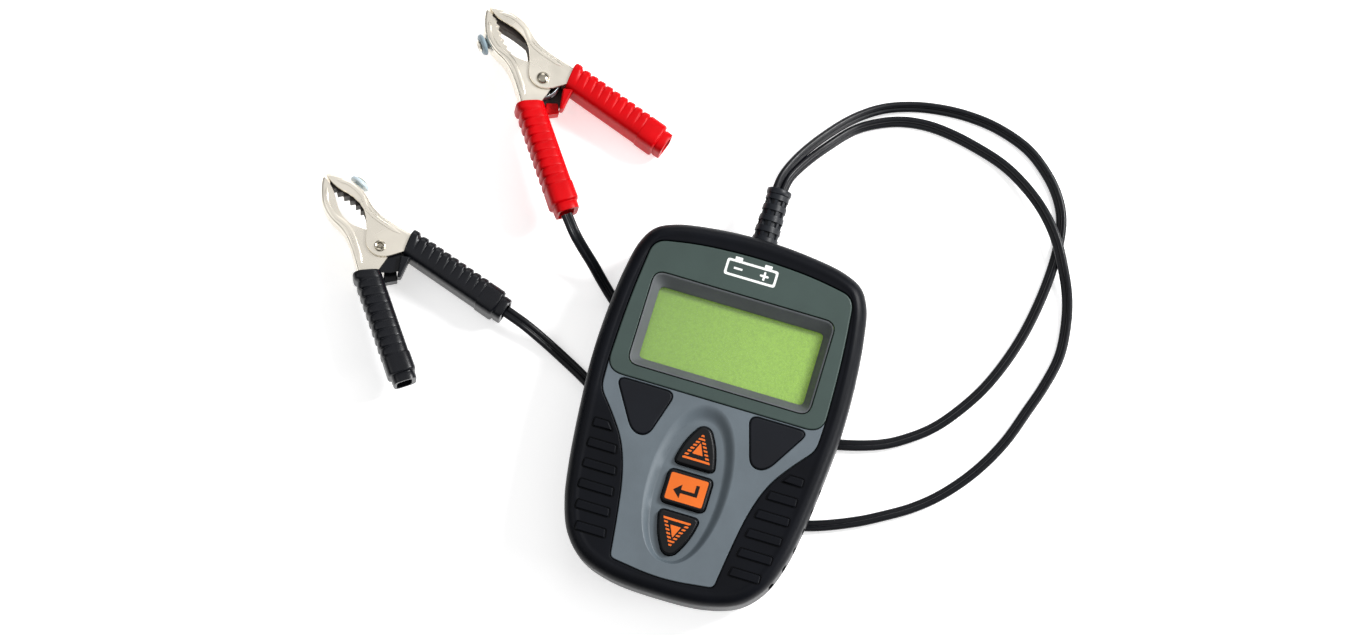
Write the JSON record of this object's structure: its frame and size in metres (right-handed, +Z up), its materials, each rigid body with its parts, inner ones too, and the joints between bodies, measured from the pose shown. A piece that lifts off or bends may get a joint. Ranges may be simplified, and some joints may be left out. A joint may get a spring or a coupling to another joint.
{
  "type": "battery tester",
  "caption": "Handheld battery tester with a display, a rubber boot, push keys and flat leads that end in sprung battery clips, lying face up.",
  "frame": {"origin": "middle of the case in plan, at the plane its feet stand on", "axes": "+X to the right of the display, +Y along the case towards the strain relief, +Z up out of the face"},
  "size_m": [0.2638, 0.1947, 0.029],
  "materials": {
    "boot_rubber": "satin",
    "face_plate": "fine grain",
    "display_panel": "satin",
    "display_surround": "coarse texture",
    "clear_window": "clear",
    "lcd": "smooth",
    "white_plastic": "moulded",
    "grey_silicone": "matt",
    "black_shell": "moulded",
    "circuit_board": "solder mask",
    "black_epoxy": "moulded",
    "ceramic": "unglazed ceramic",
    "key_rubber": "satin, orange print",
    "steel": "zinc plated",
    "black_pvc": "glossy flexible PVC",
    "nickel": "satin nickel plate",
    "red_sleeve": "soft PVC",
    "black_sleeve": "soft PVC",
    "dark_contact": "dark oxidised copper",
    "liner": "dark fibre",
    "insulator": "translucent blue-grey"
  },
  "bodies": {
    "tester": {"front_housing": "black_shell", "back_cover": "black_shell", "rubber_boot": "boot_rubber", "face_plate": "face_plate", "display_panel": "display_panel", "display_surround": "display_surround", "display_window": "clear_window", "lcd_glass": "lcd", "lcd_backlight": "white_plastic", "zebra_strip": "grey_silicone", "circuit_board": "circuit_board", "keypad_mat": "grey_silicone", "left_pad": "boot_rubber", "right_pad": "boot_rubber", "strain_relief": "boot_rubber", "processor_chip": "black_epoxy", "load_resistor": "ceramic", "power_transistor": "black_epoxy", "lead_connector": "white_plastic", "case_screw_1": "steel", "case_screw_2": "steel", "case_screw_3": "steel", "case_screw_4": "steel", "foot_1": "boot_rubber", "foot_2": "boot_rubber", "foot_3": "boot_rubber", "foot_4": "boot_rubber", "red_lead": "black_pvc", "black_lead": "black_pvc", "red_clip_cord_jaw": "nickel", "red_clip_cord_sleeve": "red_sleeve", "red_clip_rivet": "nickel", "red_clip_spring": "steel", "red_clip_contact_strip": "dark_contact", "red_clip_insulator": "insulator", "red_clip_eyelet": "nickel", "black_clip_cord_jaw": "nickel", "black_clip_cord_sleeve": "black_sleeve", "black_clip_rivet": "nickel", "black_clip_spring": "steel", "black_clip_contact_strip": "dark_contact", "black_clip_insulator": "insulator", "black_clip_eyelet": "nickel"},
    "up_key": {"up_button": "key_rubber"},
    "enter_key": {"enter_button": "key_rubber"},
    "down_key": {"down_button": "key_rubber"},
    "red_free_half": {"red_clip_free_jaw": "nickel", "red_clip_free_sleeve": "red_sleeve", "red_clip_jaw_liner": "liner"},
    "black_free_half": {"black_clip_free_jaw": "nickel", "black_clip_free_sleeve": "black_sleeve", "black_clip_jaw_liner": "liner"}
  },
  "joints": [
    {"name": "up_press", "type": "slide", "parent": "tester", "child": "up_key", "axis": [0, 0, -1], "range_m": [0, 0.0009], "stiffness_N_per_m": 1800},
    {"name": "enter_press", "type": "slide", "parent": "tester", "child": "enter_key", "axis": [0, 0, -1], "range_m": [0, 0.0009], "stiffness_N_per_m": 1800},
    {"name": "down_press", "type": "slide", "parent": "tester", "child": "down_key", "axis": [0, 0, -1], "range_m": [0, 0.0009], "stiffness_N_per_m": 1800},
    {"name": "red_clip_hinge", "type": "hinge", "parent": "tester", "child": "red_free_half", "pos_m": [-0.0906, 0.0969, 0.011], "axis": [-0.1225, -0.168, -0.9781], "range_deg": [0, 36], "stiffness_Nm_per_rad": 0.3, "springref_deg": -34.38, "deforming": ["red_clip_spring"]},
    {"name": "black_clip_hinge", "type": "hinge", "parent": "tester", "child": "black_free_half", "pos_m": [-0.1268, 0.0247, 0.0098], "axis": [0.0906, 0.1275, 0.9877], "range_deg": [0, 36], "stiffness_Nm_per_rad": 0.3, "springref_deg": -34.38, "deforming": ["black_clip_spring"]}
  ]
}
